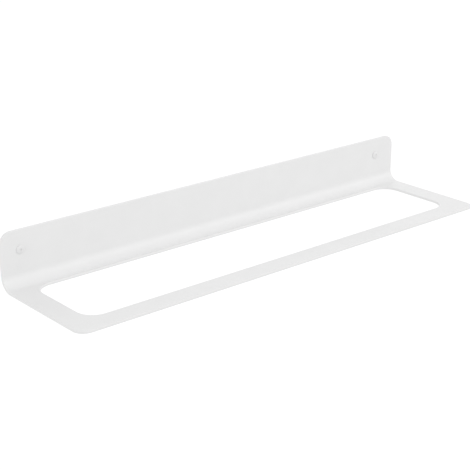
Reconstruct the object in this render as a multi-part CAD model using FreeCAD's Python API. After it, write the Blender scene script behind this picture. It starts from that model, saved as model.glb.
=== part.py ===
"""Wall-mounted towel rail shelf, folded from one steel sheet, with its two wall fixings.

Millimetres. +X runs along the rail, +Y goes into the wall, +Z is up. The origin lies on the wall's
face, midway along the rail and level with the two fixings.
"""
import FreeCAD, Part
import math
import os

Vector = FreeCAD.Vector

# The folded plate
PLATE_LENGTH = 600.0
PLATE_DEPTH = 150.0  # wall's face to the front edge
PLATE_HEIGHT = 65.0  # underside to the top edge
SHEET = 3.0
BEND_RADIUS = 14.0  # inside the bend
TOP_CORNER_RADIUS = 14.0
FRONT_CORNER_RADIUS = 14.0
EDGE_ROUND = 0.6  # deburred and coated edges
LARGEST_ROUND = 0.4  # that rounding's largest share of the sheet

# The towel opening in the level leaf
END_BAR_WIDTH = 27.0
FRONT_BAR_WIDTH = 25.5
BACK_LAND = 2.0  # flat strip between the bend and the opening
OPENING_CORNER_RADIUS = 21.0

# Where the fixings go through the upright leaf
LEFT_INSET = 24.0  # left end to the left fixing
RIGHT_INSET = 32.0  # right end to the right fixing
FIXING_DROP = 22.5  # below the top edge

# Low pan-head screw
SCREW_DIAMETER = 5.0  # over the thread
SCREW_LENGTH = 40.0  # under the head
CORE_DIAMETER = 3.2
NECK_LENGTH = 4.0
POINT_LENGTH = 5.0
THREAD_PITCH = 2.6
THREAD_CREST = 0.2
THREAD_FLANK = 0.55  # how far each flank of a thread ridge spreads along the screw
HEAD_DIAMETER = 10.0
HEAD_HEIGHT = 2.0
HEAD_RIM = 0.9  # upright part of the head's side
RECESS_SPAN = 3.0
RECESS_FLOOR = 1.8  # span of the cross at its floor
RECESS_WING = 0.7
RECESS_DEPTH = 0.6

# Nylon wall plug, set flush with the wall's face
PLUG_LENGTH = 30.0
PLUG_WALL = 0.5  # outside the thread that the screw forms
PLUG_COLLAR = 7.0  # length that is not split
PLUG_SLOT = 0.9
PLUG_LEAD_IN = 0.3
PLUG_TAPER = 3.0  # length of the tapered tip
PLUG_TIP_DROP = 0.25
TOOTH_PITCH = 2.6
TOOTH_DEPTH = 0.2
TOOTH_LAND = 1.0

# Clearances
THREAD_GAP = 0.03  # around the thread formed in the plug
HOLE_GAP = 0.25  # plate around the plug, which can be pushed in through the plate

# Tests on edges
PARALLEL = 0.98  # least cosine of two directions that count as one
TOUCHING = 1e-6

# Places that follow from the sizes above
seat = -SHEET  # the plate's front, where the screw heads bear
underside = FIXING_DROP - PLATE_HEIGHT
level_top = underside + SHEET
half_length = PLATE_LENGTH / 2
bend_depth = SHEET + BEND_RADIUS  # wall's face to the centre of the bend
bend_centre_z = underside + bend_depth
left_x = LEFT_INSET - half_length
right_x = half_length - RIGHT_INSET
plug_radius = SCREW_DIAMETER / 2 + PLUG_WALL
hole_radius = plug_radius + HOLE_GAP
edge_round = min(EDGE_ROUND, LARGEST_ROUND * SHEET)
cutter_length = 3 * SHEET  # passes right through the sheet


def line(start, end):
    return Part.LineSegment(start, end).toShape()


def arc(start, middle, end):
    return Part.Arc(start, middle, end).toShape()


def sheet_section():
    """The L-shaped section of the sheet, at the rail's left end, with a bend of BEND_RADIUS."""
    x = -half_length

    def at(y, z):
        return Vector(x, y, z)

    def on_bend(radius):
        reach = radius * math.sqrt(0.5)
        return at(-bend_depth + reach, bend_centre_z - reach)

    edges = [
        line(at(-PLATE_DEPTH, underside), at(-bend_depth, underside)),
        arc(at(-bend_depth, underside), on_bend(bend_depth), at(0, bend_centre_z)),
        line(at(0, bend_centre_z), at(0, FIXING_DROP)),
        line(at(0, FIXING_DROP), at(-SHEET, FIXING_DROP)),
        line(at(-SHEET, FIXING_DROP), at(-SHEET, bend_centre_z)),
        arc(at(-SHEET, bend_centre_z), on_bend(BEND_RADIUS), at(-bend_depth, level_top)),
        line(at(-bend_depth, level_top), at(-PLATE_DEPTH, level_top)),
        line(at(-PLATE_DEPTH, level_top), at(-PLATE_DEPTH, underside)),
    ]
    return Part.Face(Part.Wire(edges))


def corner_edges(plate, direction):
    """The two edges through the sheet's thickness that run along direction, one at each end."""
    found = []
    for edge in plate.Edges:
        along = edge.tangentAt(edge.FirstParameter).dot(direction)
        if abs(edge.Length - SHEET) < TOUCHING and abs(along) > PARALLEL:
            found.append(edge)
    return found


def sharp_edges(shape):
    """Every edge where two faces meet at an angle, which leaves out the bend's tangent lines."""
    found = []
    for edge in shape.Edges:
        middle = edge.valueAt((edge.FirstParameter + edge.LastParameter) / 2)
        faces = shape.ancestorsOfType(edge, Part.Face)
        normals = [face.normalAt(*face.Surface.parameter(middle)) for face in faces]
        if len(normals) == 2 and abs(normals[0].dot(normals[1])) < PARALLEL:
            found.append(edge)
    return found


def towel_opening():
    """The rounded rectangle cut through the level leaf, between the bars."""
    width = PLATE_LENGTH - 2 * END_BAR_WIDTH
    front = -PLATE_DEPTH + FRONT_BAR_WIDTH
    back = -bend_depth - BACK_LAND
    block = Part.makeBox(width, back - front, cutter_length, Vector(-width / 2, front, underside - SHEET))
    upright = [edge for edge in block.Edges if abs(edge.tangentAt(edge.FirstParameter).z) > PARALLEL]
    return block.makeFillet(OPENING_CORNER_RADIUS, upright)


def fixing_hole(x):
    return Part.makeCylinder(hole_radius, cutter_length, Vector(x, -2 * SHEET, 0), Vector(0, 1, 0))


def rail_plate():
    """The bent sheet with rounded corners, the opening, two fixing holes and softened edges."""
    plate = sheet_section().extrude(Vector(PLATE_LENGTH, 0, 0))
    plate = plate.makeFillet(TOP_CORNER_RADIUS, corner_edges(plate, Vector(0, 1, 0)))
    plate = plate.makeFillet(FRONT_CORNER_RADIUS, corner_edges(plate, Vector(0, 0, 1)))
    plate = plate.cut([towel_opening(), fixing_hole(left_x), fixing_hole(right_x)])
    return plate.makeFillet(edge_round, sharp_edges(plate))


def turned(edges):
    """A solid turned about the Y axis from a closed outline in the X-Y plane."""
    return Part.Face(Part.Wire(edges)).revolve(Vector(), Vector(0, 1, 0), 360)


def polyline(points):
    """Lines through (radius, y) points."""
    spots = [Vector(radius, y, 0) for radius, y in points]
    return [line(a, b) for a, b in zip(spots, spots[1:])]


def shank_points(grow):
    """(radius, y) points down the shank from the head's seat to the point, larger by grow.

    The thread is a row of ridges, one every THREAD_PITCH.
    """
    core = CORE_DIAMETER / 2 + grow
    crest = SCREW_DIAMETER / 2 + grow
    half_crest = THREAD_CREST / 2 + grow
    foot = half_crest + THREAD_FLANK
    thread_start = seat + NECK_LENGTH
    thread_end = seat + SCREW_LENGTH - POINT_LENGTH
    points = [(core, seat)]
    for ridge in range(int((thread_end - thread_start) / THREAD_PITCH)):
        y = thread_start + (ridge + 0.5) * THREAD_PITCH
        points += [(core, y - foot), (crest, y - half_crest), (crest, y + half_crest), (core, y + foot)]
    return points + [(core, thread_end), (0, seat + SCREW_LENGTH + grow)]


def cross_recess():
    """The cross drive: two wings at right angles that narrow towards the recess's floor."""
    mouth = seat - HEAD_HEIGHT
    taper = (RECESS_SPAN - RECESS_FLOOR) / 2 / RECESS_DEPTH
    outside = RECESS_SPAN / 2 + taper * RECESS_WING
    corners = [
        Vector(-outside, mouth - RECESS_WING, -RECESS_WING / 2),
        Vector(outside, mouth - RECESS_WING, -RECESS_WING / 2),
        Vector(RECESS_FLOOR / 2, mouth + RECESS_DEPTH, -RECESS_WING / 2),
        Vector(-RECESS_FLOOR / 2, mouth + RECESS_DEPTH, -RECESS_WING / 2),
    ]
    wing = Part.Face(Part.makePolygon(corners + corners[:1])).extrude(Vector(0, 0, RECESS_WING))
    across = wing.copy()
    across.rotate(Vector(), Vector(0, 1, 0), 90)
    return wing.fuse(across)


def screw(x):
    """Pan head with its flat seat on the plate's front, a neck, a threaded shank and a point."""
    head = HEAD_DIAMETER / 2
    rise = HEAD_HEIGHT - HEAD_RIM
    crown = (head**2 + rise**2) / (2 * rise)
    lean = math.asin(head / crown) / 2
    top = Vector(0, seat - HEAD_HEIGHT, 0)
    shoulder = Vector(head, seat - HEAD_RIM, 0)
    between = Vector(crown * math.sin(lean), top.y + crown * (1 - math.cos(lean)), 0)
    outline = [arc(top, between, shoulder)]
    outline += polyline([(head, seat - HEAD_RIM), (head, seat)] + shank_points(0))
    outline.append(line(Vector(0, seat + SCREW_LENGTH, 0), top))
    body = turned(outline).cut(cross_recess())
    body.translate(Vector(x, 0, 0))
    return body


def wall_plug(x):
    """Split nylon plug: a plain collar, toothed legs and a tapered tip, threaded by the screw."""
    root = plug_radius - TOOTH_DEPTH
    tip = plug_radius - PLUG_TIP_DROP
    body_end = PLUG_LENGTH - PLUG_TAPER
    points = [(0, 0), (plug_radius - PLUG_LEAD_IN, 0), (plug_radius, PLUG_LEAD_IN)]
    points.append((plug_radius, PLUG_COLLAR))
    for tooth in range(int((body_end - PLUG_COLLAR) / TOOTH_PITCH)):
        y = PLUG_COLLAR + tooth * TOOTH_PITCH
        points += [(root, y), (plug_radius, y + TOOTH_PITCH - TOOTH_LAND), (plug_radius, y + TOOTH_PITCH)]
    points += [(plug_radius, body_end), (tip, PLUG_LENGTH), (0, PLUG_LENGTH), (0, 0)]
    bore = [(0, seat)] + shank_points(THREAD_GAP) + [(0, seat)]
    slot = Part.makeBox(
        3 * plug_radius,
        PLUG_LENGTH,
        PLUG_SLOT,
        Vector(-1.5 * plug_radius, PLUG_COLLAR, -PLUG_SLOT / 2),
    )
    body = turned(polyline(distinct(points))).cut([turned(polyline(bore)), slot])
    body.translate(Vector(x, 0, 0))
    return body


def distinct(points):
    """The same points without any that repeats the one before it."""
    return points[:1] + [p for before, p in zip(points, points[1:]) if p != before]


def main():
    parts = {
        "rail_plate": rail_plate(),
        "screw_left": screw(left_x),
        "screw_right": screw(right_x),
        "wall_plug_left": wall_plug(left_x),
        "wall_plug_right": wall_plug(right_x),
    }
    os.makedirs("parts", exist_ok=True)
    for name, shape in parts.items():
        shape = shape.removeSplitter()
        print(f"{name}: {len(shape.Solids)} solid, {shape.Volume:.1f} mm3, valid {shape.isValid()}")
        shape.exportStep(f"parts/{name}.step")


main()
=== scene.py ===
"""A wall-mounted towel rail shelf, folded from one white powder-coated sheet, with its two wall fixings.

Metres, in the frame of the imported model: +X along the rail, +Y into the wall, +Z up.
"""
import math

import bmesh
import bpy
import numpy as np
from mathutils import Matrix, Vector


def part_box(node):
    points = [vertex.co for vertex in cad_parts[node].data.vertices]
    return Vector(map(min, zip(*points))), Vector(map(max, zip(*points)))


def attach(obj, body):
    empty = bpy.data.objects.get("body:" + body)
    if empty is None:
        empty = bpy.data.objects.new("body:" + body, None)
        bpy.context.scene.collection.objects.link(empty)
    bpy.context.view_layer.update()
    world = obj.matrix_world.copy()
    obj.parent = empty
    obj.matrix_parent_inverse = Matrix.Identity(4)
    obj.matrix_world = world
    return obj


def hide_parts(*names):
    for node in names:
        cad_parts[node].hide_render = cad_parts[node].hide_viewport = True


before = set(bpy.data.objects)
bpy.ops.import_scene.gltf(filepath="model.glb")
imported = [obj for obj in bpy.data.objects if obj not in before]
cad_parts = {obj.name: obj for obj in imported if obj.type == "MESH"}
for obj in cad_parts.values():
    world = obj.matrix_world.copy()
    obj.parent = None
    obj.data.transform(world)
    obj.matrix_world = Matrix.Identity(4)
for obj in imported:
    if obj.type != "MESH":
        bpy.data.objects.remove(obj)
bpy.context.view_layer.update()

# The folded sheet, over its coat
SHEET = 0.003
BEND_RADIUS = 0.014  # inside the bend
CORNER_RADIUS = 0.014
EDGE_ROUND = 0.0006
END_BAR_WIDTH = 0.027
FRONT_BAR_WIDTH = 0.0255
BACK_LAND = 0.002
OPENING_RADIUS = 0.021
HOLE_RADIUS = 0.00325

# The faces of the folded sheet
X_CELLS = (9, 1, 2, 6, 4, 26, 2, 8, 2, 2, 9)  # from one mark across the flat sheet to the next
ALONG_CELLS = (9, 2, 12, 6, 12, 32, 6, 8, 9)  # from one mark along it to the next
RING_WIDTH = 0.0075  # of the rings of faces round the opening
RING_SHARES = (0.3, 0.6, 0.85, 1.0)  # places of the rings, from their outline to the cut
LIP_POINTS = 6  # on each quarter circle of a lip
PLATE_SHARP_ANGLE = 60  # degrees

# The pan-head screws
HEAD_RIM = 0.0009  # upright part of the head's side
HEAD_SHOULDER = 0.0004  # radius of the arc between the dome and the rim
EDGE_SOFTNESS = 0.00008  # of the seat's edge and the recess's mouth
CORE_RADIUS = 0.0016
THREAD_RADIUS = 0.0025
THREAD_PITCH = 0.0026
THREAD_FLANK = 0.00055
THREAD_CREST = 0.0002
NECK_LENGTH = 0.004
POINT_LENGTH = 0.005
RECESS_REACH = 0.0015  # centre to a wing's end
RECESS_HALF_WING = 0.00035
RECESS_DEPTH = 0.0006
RECESS_FLOOR_SHARE = 0.6  # of the mouth's size
RECESS_LIP = ((-0.25, 1.0), (0.25, 0.2), (1.0, 0.0))  # (outwards, deeper) in EDGE_SOFTNESS
DOME_SHARES = (0.12, 0.3, 0.5, 0.7, 0.86, 0.95)  # of the way from the recess to the shoulder
QUARTER_COLUMNS = 16
SHOULDER_ROWS = 6
SEAT_EDGE_ROWS = 4

# The wall plugs
PLUG_COLLAR = 0.007  # length that is not split
PLUG_SLOT = 0.0009
PLUG_LEAD_IN = 0.0003
PLUG_TAPER = 0.003
PLUG_TIP_DROP = 0.00025
PLUG_BORE_GAP = 0.00003
TOOTH_PITCH = 0.0026
TOOTH_DEPTH = 0.0002
TOOTH_LAND = 0.001
TOOTH_BACK = 0.00001  # depth that the steep side of a tooth takes
LEG_POINTS = 25  # on the arc of one leg
SLOT_POINTS = 4  # on the arc across the slot

# Every mesh
MERGE_DISTANCE = 2e-7
LEAST_EDGE = 1e-7
SHARP_ANGLE = 40  # degrees
TINY = 1e-9  # keeps a division from zero

# Values of the noise between which a finish changes
GLOSS_SPAN = (0.3, 0.7)
SHADE_SPAN = (0.35, 0.65)

# The camera: degrees from the front towards the right and above level, and millimetres of lens
CAMERA_TURN, CAMERA_RISE = -40.351, 20.243
CAMERA_LENS, CAMERA_SENSOR = 93.327, 36
CAMERA_DISTANCE = 1.47786  # from the foot of the rail's middle
FOOT_ASIDE, FOOT_ABOVE = -0.01950, 0.00760  # that foot, right of and above the line of sight
CAMERA_NEAR, CAMERA_FAR = 0.05, 60

# The studio
ROOM_LIGHT = 0.857  # radiance of the white surroundings
FLOOR_GLOW = 0.82  # strength of its emission
FLOOR_REACH, FLOOR_DROP = 30.0, 1.0  # half its width, and how far it lies below the rail

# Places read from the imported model
plate_low, plate_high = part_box("rail_plate")
half_length = plate_high.x
underside = plate_low.z
bend_depth = SHEET + BEND_RADIUS
bend_centre_z = underside + bend_depth
middle_radius = BEND_RADIUS + SHEET / 2
left_fixing, right_fixing = [
    low.lerp(high, 0.5) for low, high in (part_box("screw_left"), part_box("screw_right"))
]

# Along the width of the flat sheet, from the front edge to the top edge
bend_start = -plate_low.y - bend_depth
bend_end = bend_start + middle_radius * math.pi / 2
flat_width = bend_end + plate_high.z - bend_centre_z
fixing_along = bend_end + left_fixing.z - bend_centre_z

# Marks on the flat sheet, at its corners and round its opening and holes
corner_x = half_length - CORNER_RADIUS
opening_x = half_length - END_BAR_WIDTH - OPENING_RADIUS
opening_side = half_length - END_BAR_WIDTH + RING_WIDTH
opening_front = FRONT_BAR_WIDTH + OPENING_RADIUS
opening_back = bend_start - BACK_LAND - OPENING_RADIUS
ring_front = FRONT_BAR_WIDTH - RING_WIDTH
hole_top = flat_width - CORNER_RADIUS
hole_side = hole_top - fixing_along  # half the width of the square block round a hole


def steps(marks, counts):
    """Rising values: each stretch between two marks is split into its count of even steps."""
    runs = [np.linspace(a, b, n, endpoint=False) for a, b, n in zip(marks, marks[1:], counts)]
    return np.concatenate(runs + [marks[-1:]])


def index_of(values, place):
    """Where place stands among the values."""
    return int(np.argmin(np.abs(values - place)))


def new_piece(name, mesh_data, materials, replaced, sharp=SHARP_ANGLE):
    """A piece on the body root, its doubles merged, smooth but for edges sharper than sharp degrees.

    mesh_data holds the points, the faces and each face's number in materials.
    """
    points, faces, material_index = mesh_data
    mesh = bpy.data.meshes.new(name)
    mesh.from_pydata(points.tolist(), [], faces.tolist())
    mesh.polygons.foreach_set("material_index", material_index.astype(np.int32))
    work = bmesh.new()
    work.from_mesh(mesh)
    bmesh.ops.remove_doubles(work, verts=work.verts, dist=MERGE_DISTANCE)
    bmesh.ops.dissolve_degenerate(work, edges=work.edges, dist=LEAST_EDGE)
    work.to_mesh(mesh)
    work.free()
    mesh.polygons.foreach_set("use_smooth", np.ones(len(mesh.polygons), bool))
    mesh.set_sharp_from_angle(angle=math.radians(sharp))
    for material in materials:
        mesh.materials.append(material)
    piece = bpy.data.objects.new(name, mesh)
    bpy.context.scene.collection.objects.link(piece)
    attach(piece, "root")
    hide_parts(replaced)
    return piece


# ---------------------------------------------------------------- the folded sheet


def folded(flat, lift):
    """Bends flat points (x, along) that stand lift above the sheet's middle surface.

    The distance along the sheet past the bend's start turns into an angle about the bend's centre,
    held between none and a quarter turn; the radius there is the middle one less the lift.
    """
    x, along = flat.T
    angle = np.clip((along - bend_start) / middle_radius, 0, math.pi / 2)
    level = np.minimum(along - bend_start, 0)
    upright = np.maximum(along - bend_end, 0)
    radius = middle_radius - lift
    y = level - bend_depth + radius * np.sin(angle)
    z = bend_centre_z + upright - radius * np.cos(angle)
    return np.stack([x, y, z], 1)


def block_outline(first, last, low, high, row):
    """Grid vertices round the block of cells first..last by low..high, anticlockwise."""
    return np.concatenate([
        np.arange(first, last) * row + low,
        last * row + np.arange(low, high),
        np.arange(last, first, -1) * row + high,
        first * row + np.arange(high, low, -1),
    ])


def grid_lines():
    """Rising places of the grid's lines, across the flat sheet and along it."""
    end = half_length - EDGE_ROUND
    left_x, right_x = left_fixing.x, right_fixing.x
    x_marks = [-end, -corner_x, left_x - hole_side, -opening_side, left_x + hole_side, -opening_x]
    x_marks += [opening_x, right_x - hole_side, right_x + hole_side, opening_side, corner_x, end]
    along_marks = [EDGE_ROUND, CORNER_RADIUS, ring_front, opening_front, opening_back, bend_start]
    along_marks += [bend_end, fixing_along - hole_side, hole_top, flat_width - EDGE_ROUND]
    return steps(np.array(x_marks), X_CELLS), steps(np.array(along_marks), ALONG_CELLS)


def round_corners(points):
    """Maps the square block of cells at each of the sheet's four corners to a quarter disc.

    u and v rise from 0 to 1 across the block: u' = u sqrt(1 - v^2 / 2), v' = v sqrt(1 - u^2 / 2).
    """
    reach = CORNER_RADIUS - EDGE_ROUND
    side = np.sign(points[:, 0])
    u = np.clip((np.abs(points[:, 0]) - corner_x) / reach, 0, None)
    for centre, way in ((CORNER_RADIUS, -1), (hole_top, 1)):
        v = np.clip(way * (points[:, 1] - centre) / reach, 0, None)
        corner = (u > 0) & (v > 0)
        points[corner, 0] = (side * (corner_x + reach * u * np.sqrt(1 - v**2 / 2)))[corner]
        points[corner, 1] = (centre + way * reach * v * np.sqrt(1 - u**2 / 2))[corner]


def sheet_cuts():
    """The opening and the two holes: each cut's block of cells, its core and its radius.

    Block and core are two corners each, as (x, along). The cut's edge keeps its radius from the
    core, which is a box in the opening and a point in a hole.
    """
    block = (-opening_side, ring_front), (opening_side, bend_start)
    core = (-opening_x, opening_front), (opening_x, opening_back)
    cuts = [(block, core, OPENING_RADIUS)]
    for x in (left_fixing.x, right_fixing.x):
        block = (x - hole_side, fixing_along - hole_side), (x + hole_side, hole_top)
        cuts.append((block, ((x, fixing_along), (x, fixing_along)), HOLE_RADIUS))
    return cuts


def flat_sheet():
    """Points and quads of the flat sheet, drawn in by EDGE_ROUND from every cut edge.

    A grid of crossing lines covers it. Round each cut, a block of cells gives way to rings that run
    from the block's outline to its radial projection on the rounded cut.
    """
    xs, alongs = grid_lines()
    row = len(alongs)
    points = np.stack(np.meshgrid(xs, alongs, indexing="ij"), -1).reshape(-1, 2)
    round_corners(points)
    i, j = np.meshgrid(np.arange(len(xs) - 1), np.arange(row - 1), indexing="ij")
    cells = np.stack([i * row + j, (i + 1) * row + j, (i + 1) * row + j + 1, i * row + j + 1], -1)
    kept = np.ones(i.shape, bool)
    quads = []
    for ((x_low, along_low), (x_high, along_high)), (core_low, core_high), radius in sheet_cuts():
        first, last = index_of(xs, x_low), index_of(xs, x_high)
        low, high = index_of(alongs, along_low), index_of(alongs, along_high)
        kept[first:last, low:high] = False
        loop = block_outline(first, last, low, high, row)
        outer = points[loop]
        core = np.clip(outer, core_low, core_high)
        away = outer - core
        away /= np.linalg.norm(away, axis=1, keepdims=True)
        inner = core + (radius + EDGE_ROUND) * away
        for share in RING_SHARES:
            fresh = len(points) + np.arange(len(loop))
            points = np.concatenate([points, outer + (inner - outer) * share])
            quads.append(np.stack([loop, np.roll(loop, -1), np.roll(fresh, -1), fresh], 1))
            loop = fresh
    quads = np.concatenate([cells[kept]] + quads)
    used, quads = np.unique(quads, return_inverse=True)
    return points[used], quads.reshape(-1, 4)


def free_edges(quads, count):
    """The directed edges that only one quad has, which run round the sheet, opening and holes."""
    edges = np.stack([quads, np.roll(quads, -1, 1)], -1).reshape(-1, 2)
    keys = edges.min(1) * count + edges.max(1)
    _, first, times = np.unique(keys, return_index=True, return_counts=True)
    return edges[first[times == 1]]


def outward_at(flat, free):
    """The points on the free edges, with the unit direction out of the sheet at each.

    It is the mean of the two edges' own directions, which are their runs turned by a right angle.
    """
    run = flat[free[:, 1]] - flat[free[:, 0]]
    outward = np.stack([run[:, 1], -run[:, 0]], 1) / np.linalg.norm(run, axis=1, keepdims=True)
    away = np.zeros_like(flat)
    np.add.at(away, free[:, 0], outward)
    np.add.at(away, free[:, 1], outward)
    rim = np.unique(free)
    return rim, away[rim] / np.linalg.norm(away[rim], axis=1, keepdims=True)


def lip_profile():
    """(outwards, lift) down a lip, between the skins: a quarter circle of EDGE_ROUND, the straight
    cut edge and a second quarter circle.
    """
    turn = np.linspace(0, math.pi / 2, LIP_POINTS)
    out = EDGE_ROUND * np.sin(turn)
    up = SHEET / 2 - EDGE_ROUND * (1 - np.cos(turn))
    profile = np.stack([np.concatenate([out, out[::-1]]), np.concatenate([up, -up[::-1]])], 1)
    return profile[1:-1]


def rail_plate_mesh():
    """Upper skin, lower skin and the lips that join them.

    A lip is lip_profile carried along every free edge of the flat sheet.
    """
    flat, quads = flat_sheet()
    count = len(flat)
    free = free_edges(quads, count)
    rim, away = outward_at(flat, free)
    profile = lip_profile()
    points = [folded(flat, SHEET / 2), folded(flat, -SHEET / 2)]
    points += [folded(flat[rim] + shift * away, lift) for shift, lift in profile]

    place = np.zeros(count, int)
    place[rim] = np.arange(len(rim))
    levels = [free]
    levels += [2 * count + k * len(rim) + place[free] for k in range(len(profile))]
    levels.append(count + free)
    faces = [quads, count + quads[:, ::-1]]
    for upper, lower in zip(levels, levels[1:]):
        faces.append(np.stack([upper[:, 1], upper[:, 0], lower[:, 0], lower[:, 1]], 1))
    faces = np.concatenate(faces)
    return np.concatenate(points), faces, np.zeros(len(faces))


# ---------------------------------------------------------------- the screws


def turned_faces(rows, columns):
    """Quads between neighbouring rows of a grid whose first and last columns meet."""
    i, j = np.meshgrid(np.arange(rows - 1), np.arange(columns - 1), indexing="ij")
    at = i * columns + j
    return np.stack([at, at + 1, at + columns + 1, at + columns], -1).reshape(-1, 4)


def cross_outline(turn, span, wing):
    """Radius, at each angle, of two bars crossed at right angles: the larger of the bars' two radii."""
    side, up = np.abs(np.sin(turn)) + TINY, np.abs(np.cos(turn)) + TINY
    return np.maximum(np.minimum(span / side, wing / up), np.minimum(wing / side, span / up))


def head_turns():
    """Angles of the columns: even steps, and the outer corners of the recess's wings."""
    kink = math.atan(RECESS_HALF_WING / RECESS_REACH)
    even = np.linspace(0, math.pi / 2, QUARTER_COLUMNS, endpoint=False)
    quarter = np.concatenate([even, [kink, math.pi / 2 - kink]])
    return np.sort(np.concatenate([quarter + k * math.pi / 2 for k in range(4)] + [[2 * math.pi]]))


def head_rows(turn, head_radius, head_height):
    """Rows of (radius, depth) from the recess's floor round the head to its flat seat.

    The head is part of a sphere, rounded into its upright rim by an arc that is tangent to both.
    Depth runs from the plate's front towards the wall, so it is negative in the head.
    """
    rise = head_height - HEAD_RIM
    crown = (head_radius**2 + rise**2) / (2 * rise)
    lean = math.asin((head_radius - HEAD_SHOULDER) / (crown - HEAD_SHOULDER))
    flat = np.ones_like(turn)
    mouth = cross_outline(turn, RECESS_REACH, RECESS_HALF_WING)
    floor = RECESS_DEPTH - head_height

    def dome(radius):
        return crown - head_height - np.sqrt(crown**2 - radius**2)

    rows = [(0 * flat, floor * flat), (RECESS_FLOOR_SHARE * mouth, floor * flat)]
    for out, deeper in RECESS_LIP:
        radius = mouth + out * EDGE_SOFTNESS
        rows.append((radius, dome(radius) + deeper * EDGE_SOFTNESS))
    for share in DOME_SHARES:
        radius = mouth + (crown * math.sin(lean) - mouth) * share
        rows.append((radius, dome(radius)))
    shoulder_depth = crown - head_height - (crown - HEAD_SHOULDER) * math.cos(lean)
    for angle in np.linspace(lean, math.pi / 2, SHOULDER_ROWS):
        radius = head_radius - HEAD_SHOULDER * (1 - math.sin(angle))
        rows.append((radius * flat, (shoulder_depth - HEAD_SHOULDER * math.cos(angle)) * flat))
    for angle in np.linspace(0, math.pi / 2, SEAT_EDGE_ROWS):
        radius = head_radius - EDGE_SOFTNESS * (1 - math.cos(angle))
        rows.append((radius * flat, -EDGE_SOFTNESS * (1 - math.sin(angle)) * flat))
    return rows + [(CORE_RADIUS * flat, 0 * flat)]


def shank_rows(turn, length):
    """Rows of (radius, depth) from the middle of the neck to the point.

    The thread's rows climb one pitch a turn, held between its start and the point: the radius there
    is the core's plus the ridge's height, which fades in over one pitch and out along the point.
    """
    ridge_end = 2 * THREAD_FLANK + THREAD_CREST
    ridge = [(0, 0), (THREAD_FLANK, 1), (THREAD_FLANK + THREAD_CREST, 1), (ridge_end, 0)]
    ridge.append(((ridge_end + THREAD_PITCH) / 2, 0))
    climb = THREAD_PITCH * turn / (2 * math.pi)
    rows = [(np.full_like(turn, CORE_RADIUS), np.full_like(turn, NECK_LENGTH / 2))]
    for number in range(-1, math.ceil((length - NECK_LENGTH) / THREAD_PITCH) + 1):
        for ahead, height in ridge:
            depth = NECK_LENGTH + number * THREAD_PITCH + ahead + climb
            depth = np.clip(depth, NECK_LENGTH, length)
            left = np.clip((length - depth) / POINT_LENGTH, 0, 1)
            fade = np.clip((depth - NECK_LENGTH) / THREAD_PITCH, 0, 1) * left
            rows.append((CORE_RADIUS * left + (THREAD_RADIUS - CORE_RADIUS) * height * fade, depth))
    return rows


def screw_mesh(low, high):
    """The rows of head and shank turned about the screw's axis; the shank has the second finish."""
    turn = head_turns()
    head = head_rows(turn, (high.x - low.x) / 2, -SHEET - low.y)
    rows = head + shank_rows(turn, high.y + SHEET)
    radius, depth = (np.stack(part) for part in zip(*rows))
    x = (low.x + high.x) / 2 + radius * np.sin(turn)
    z = (low.z + high.z) / 2 + radius * np.cos(turn)
    points = np.stack([x, depth - SHEET, z], -1).reshape(-1, 3)
    faces = turned_faces(*radius.shape)
    on_shank = np.arange(len(faces)) // (len(turn) - 1) >= len(head) - 1
    return points, faces, on_shank


# ---------------------------------------------------------------- the wall plugs


def plug_profile(length, radius):
    """(depth, radius) down the outside of a plug's legs: saw teeth, then the tapered tip."""
    body_end = length - PLUG_TAPER
    rows = [(PLUG_COLLAR, radius)]
    for tooth in range(int((body_end - PLUG_COLLAR) / TOOTH_PITCH)):
        start = PLUG_COLLAR + tooth * TOOTH_PITCH
        rows.append((start + TOOTH_BACK, radius - TOOTH_DEPTH))
        rows.append((start + TOOTH_PITCH - TOOTH_LAND, radius))
        rows.append((start + TOOTH_PITCH, radius))
    return rows + [(body_end, radius), (length, radius - PLUG_TIP_DROP)]


def slot_angle(r):
    """Half the angle that the slot takes of a circle of radius r."""
    return math.asin(PLUG_SLOT / 2 / r)


def plug_arc(r, depth, middle, width, count):
    """count points on a circle of radius r at depth, width radians wide about the angle middle."""
    turn = middle + (np.linspace(0, 1, count) - 0.5) * width
    return np.stack([r * np.cos(turn), np.full(count, depth), r * np.sin(turn)], 1)


def leg_arc(r, depth, side):
    return plug_arc(r, depth, side * math.pi / 2, math.pi - 2 * slot_angle(r), LEG_POINTS)


def slot_arc(r, depth, middle):
    return plug_arc(r, depth, middle, 2 * slot_angle(r), SLOT_POINTS)


def plug_circle(r, depth):
    """The arcs of both slots and both legs in turn, closed."""
    rest = [leg_arc(r, depth, 1), slot_arc(r, depth, math.pi), leg_arc(r, depth, -1)]
    return np.concatenate([slot_arc(r, depth, 0)] + [arc[1:] for arc in rest])


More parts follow.
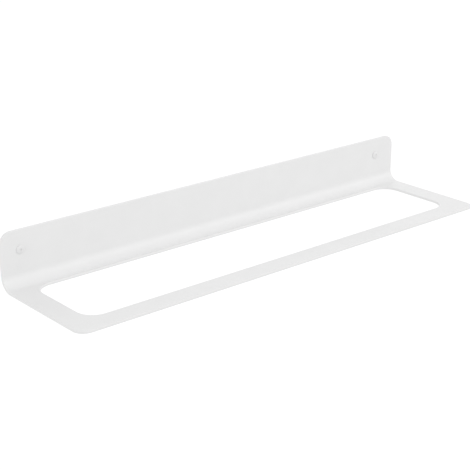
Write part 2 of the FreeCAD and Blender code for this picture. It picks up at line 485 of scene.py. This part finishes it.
def wall_plug_mesh(low, high):
    """A collar ring and two legs, which share their vertices where they meet.

    A section is an outer and an inner circle of the same count of points, each cut by the slot at
    asin(slot / 2 / r) from its middle; the legs carry their two arcs of it along the plug.
    """
    radius, length = (high.x - low.x) / 2, high.y
    bore = THREAD_RADIUS + PLUG_BORE_GAP
    collar = [(bore, PLUG_COLLAR), (bore, PLUG_COLLAR / 2), (bore, 0)]
    collar += [(radius - PLUG_LEAD_IN, 0), (radius, PLUG_LEAD_IN), (radius, PLUG_COLLAR)]
    grids = [[plug_circle(r, depth)[::-1] for r, depth in collar]]
    for middle in (0, math.pi):
        grids.append([slot_arc(r, PLUG_COLLAR, middle)[::-1] for r in (radius, bore)])
    for side in (1, -1):
        leg = []
        for depth, r in plug_profile(length, radius):
            outer, inner = leg_arc(r, depth, side), leg_arc(bore, depth, side)
            leg.append(np.concatenate([outer, inner[::-1], outer[:1]])[::-1])
        grids.append(leg)
        grids.append([leg_arc(r, length, side)[::-1] for r in (radius - PLUG_TIP_DROP, bore)])

    points, faces, start = [], [], 0
    for rows in grids:
        points += rows
        faces.append(start + turned_faces(len(rows), len(rows[0])))
        start += len(rows) * len(rows[0])
    centre = np.array([(low.x + high.x) / 2, 0, (low.z + high.z) / 2])
    faces = np.concatenate(faces)
    return np.concatenate(points) + centre, faces, np.zeros(len(faces))


# ---------------------------------------------------------------- finishes


class Nodes:
    """A material's node tree, with short ways to add nodes and links."""

    def __init__(self, name):
        self.material = bpy.data.materials.new(name)
        self.material.use_nodes = True
        self.tree = self.material.node_tree
        self.shader = self.tree.nodes["Principled BSDF"]
        self.place = self.add("ShaderNodeTexCoord").outputs["Object"]

    def add(self, kind, **values):
        node = self.tree.nodes.new(kind)
        for key, value in values.items():
            node.inputs[key].default_value = value
        return node

    def link(self, source, target):
        self.tree.links.new(source, target)

    def noise(self, scale, detail=2.0):
        node = self.add("ShaderNodeTexNoise", Scale=scale, Detail=detail)
        self.link(self.place, node.inputs["Vector"])
        return node.outputs["Fac"]

    def between(self, share, low, high):
        """low to high, as share goes through GLOSS_SPAN."""
        node = self.add("ShaderNodeMapRange")
        for key, value in zip(("From Min", "From Max", "To Min", "To Max"), (*GLOSS_SPAN, low, high)):
            node.inputs[key].default_value = value
        self.link(share, node.inputs["Value"])
        return node.outputs["Result"]

    def shades(self, share, low, high):
        """Base colours low to high, as share goes through SHADE_SPAN."""
        ramp = self.add("ShaderNodeValToRGB")
        for stop, position, colour in zip(ramp.color_ramp.elements, SHADE_SPAN, (low, high)):
            stop.position = position
            stop.color = (*colour, 1)
        self.link(share, ramp.inputs["Fac"])
        self.link(ramp.outputs["Color"], self.shader.inputs["Base Color"])

    def bumps(self, layers):
        """Bumps laid over each other, each (height source, height in metres)."""
        normal = None
        for source, height in layers:
            bump = self.add("ShaderNodeBump", Distance=height)
            self.link(source, bump.inputs["Height"])
            if normal is not None:
                self.link(normal, bump.inputs["Normal"])
            normal = bump.outputs["Normal"]
        self.link(normal, self.shader.inputs["Normal"])


def grey(level):
    return (level, level, level)


def powder_coat():
    """Satin white powder coat: a faint orange peel about a millimetre across over a finer grain."""
    m = Nodes("white powder coat")
    m.shades(m.noise(scale=38.0, detail=4.0), grey(0.774), grey(0.786))
    m.link(m.between(m.noise(scale=240.0), 0.50, 0.56), m.shader.inputs["Roughness"])
    orange_peel = m.noise(scale=850.0), 0.00004
    grain = m.noise(scale=4200.0, detail=3.0), 0.000008
    m.bumps([orange_peel, grain])
    m.shader.inputs["IOR"].default_value = 1.55
    return m.material


def head_lacquer():
    """White lacquer on the screw heads, a little glossier and smoother than the powder coat."""
    m = Nodes("white screw lacquer")
    m.shades(m.noise(scale=400.0, detail=3.0), grey(0.74), grey(0.76))
    m.link(m.between(m.noise(scale=900.0), 0.3, 0.42), m.shader.inputs["Roughness"])
    ripple = m.noise(scale=2600.0), 0.00001
    m.bumps([ripple])
    return m.material


def zinc_plate():
    """Bright zinc on the screw shanks, clouded in shade and gloss and finely pitted."""
    m = Nodes("zinc plate")
    m.shades(m.noise(scale=700.0, detail=4.0), (0.60, 0.61, 0.62), (0.74, 0.75, 0.75))
    m.shader.inputs["Metallic"].default_value = 1.0
    m.link(m.between(m.noise(scale=1500.0, detail=3.0), 0.24, 0.42), m.shader.inputs["Roughness"])
    pits = m.noise(scale=5200.0, detail=2.0), 0.000006
    m.bumps([pits])
    return m.material


def nylon():
    """Light grey moulded nylon with a matt skin."""
    m = Nodes("grey nylon")
    m.shades(m.noise(scale=300.0, detail=3.0), (0.46, 0.47, 0.48), (0.52, 0.53, 0.54))
    m.link(m.between(m.noise(scale=1100.0), 0.45, 0.6), m.shader.inputs["Roughness"])
    mould_grain = m.noise(scale=3800.0, detail=2.0), 0.00001
    m.bumps([mould_grain])
    return m.material


def floor_paint():
    """Matt floor that shines white by itself."""
    m = Nodes("matt white floor")
    m.shades(m.noise(scale=3.0, detail=2.0), grey(0.20), grey(0.21))
    m.shader.inputs["Roughness"].default_value = 0.9
    m.shader.inputs["Emission Color"].default_value = (1, 1, 1, 1)
    m.shader.inputs["Emission Strength"].default_value = FLOOR_GLOW
    return m.material


# ---------------------------------------------------------------- camera, light and floor


def add_camera():
    """The camera stands to the left, in front and a little above, and looks past the rail's middle."""
    azimuth, elevation = math.radians(CAMERA_TURN), math.radians(CAMERA_RISE)
    back = np.array([
        math.sin(azimuth) * math.cos(elevation),
        -math.cos(azimuth) * math.cos(elevation),
        math.sin(elevation),
    ])
    right = np.array([math.cos(azimuth), math.sin(azimuth), 0])
    up = np.cross(back, right)
    foot = np.array([0, 0, underside])
    camera = bpy.data.objects.new("camera", bpy.data.cameras.new("camera"))
    bpy.context.scene.collection.objects.link(camera)
    camera.data.lens = CAMERA_LENS
    camera.data.sensor_width = CAMERA_SENSOR
    camera.data.clip_start, camera.data.clip_end = CAMERA_NEAR, CAMERA_FAR
    camera.location = foot + back * CAMERA_DISTANCE - right * FOOT_ASIDE - up * FOOT_ABOVE
    camera.rotation_euler = (math.pi / 2 - elevation, 0, azimuth)
    bpy.context.scene.camera = camera


def add_softbox(name, place, size, power, reflected=True):
    """A square area light at place that faces the middle of the rail."""
    light = bpy.data.lights.new(name, "AREA")
    light.size = size
    light.energy = power
    lamp = bpy.data.objects.new(name, light)
    bpy.context.scene.collection.objects.link(lamp)
    lamp.location = place
    lamp.visible_glossy = reflected
    direction = plate_low.lerp(plate_high, 0.5) - lamp.location
    lamp.rotation_euler = direction.to_track_quat("-Z", "Y").to_euler()


def add_floor():
    """A wide floor well below the rail, whose glow neither lights the rail nor shows in its gloss."""
    corners = [(-1, -1), (1, -1), (1, 1), (-1, 1)]
    points = [(x * FLOOR_REACH, y * FLOOR_REACH, underside - FLOOR_DROP) for x, y in corners]
    mesh = bpy.data.meshes.new("floor")
    mesh.from_pydata(points, [], [(0, 1, 2, 3)])
    mesh.materials.append(floor_paint())
    floor = bpy.data.objects.new("floor", mesh)
    bpy.context.scene.collection.objects.link(floor)
    floor.visible_diffuse = floor.visible_glossy = False


def add_world():
    """Even white light from all round, which the camera itself sees as pure white."""
    world = bpy.data.worlds.new("studio")
    world.use_nodes = True
    tree = world.node_tree
    shade = tree.nodes["Background"]
    shade.inputs["Color"].default_value = (1, 1, 1, 1)
    strength = tree.nodes.new("ShaderNodeMapRange")
    strength.inputs["To Min"].default_value = ROOM_LIGHT
    strength.inputs["To Max"].default_value = 1.0
    seen = tree.nodes.new("ShaderNodeLightPath").outputs["Is Camera Ray"]
    tree.links.new(seen, strength.inputs["Value"])
    tree.links.new(strength.outputs["Result"], shade.inputs["Strength"])
    bpy.context.scene.world = world


def add_lights():
    """A key from the front right and three fills.

    The left one is hidden from gloss, because its reflection would turn the level leaf pure white
    when that is seen from the right.
    """
    add_softbox("key softbox", (2.74, -3.51, 2.27), size=0.9, power=53)
    add_softbox("overhead softbox", (0.0, -0.6, 3.0), size=1.6, power=2.5)
    add_softbox("left softbox", (-3.0, -0.6, 0.6), size=1.6, power=14.0, reflected=False)
    add_softbox("rear softbox", (1.81, 2.15, 1.04), size=1.6, power=7.5)


def add_pieces():
    coat, lacquer, zinc, plastic = powder_coat(), head_lacquer(), zinc_plate(), nylon()
    plate = new_piece("folded_plate", rail_plate_mesh(), [coat], "rail_plate",
                      PLATE_SHARP_ANGLE)
    plate.modifiers.new("flat faces rule", "WEIGHTED_NORMAL")
    for side in ("left", "right"):
        screw = screw_mesh(*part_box(f"screw_{side}"))
        new_piece(f"pan_screw_{side}", screw, [lacquer, zinc], f"screw_{side}")
        plug = wall_plug_mesh(*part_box(f"wall_plug_{side}"))
        new_piece(f"nylon_plug_{side}", plug, [plastic], f"wall_plug_{side}")


def main():
    add_pieces()
    add_floor()
    add_world()
    add_lights()
    add_camera()
    bpy.context.scene.view_settings.view_transform = "Standard"


main()
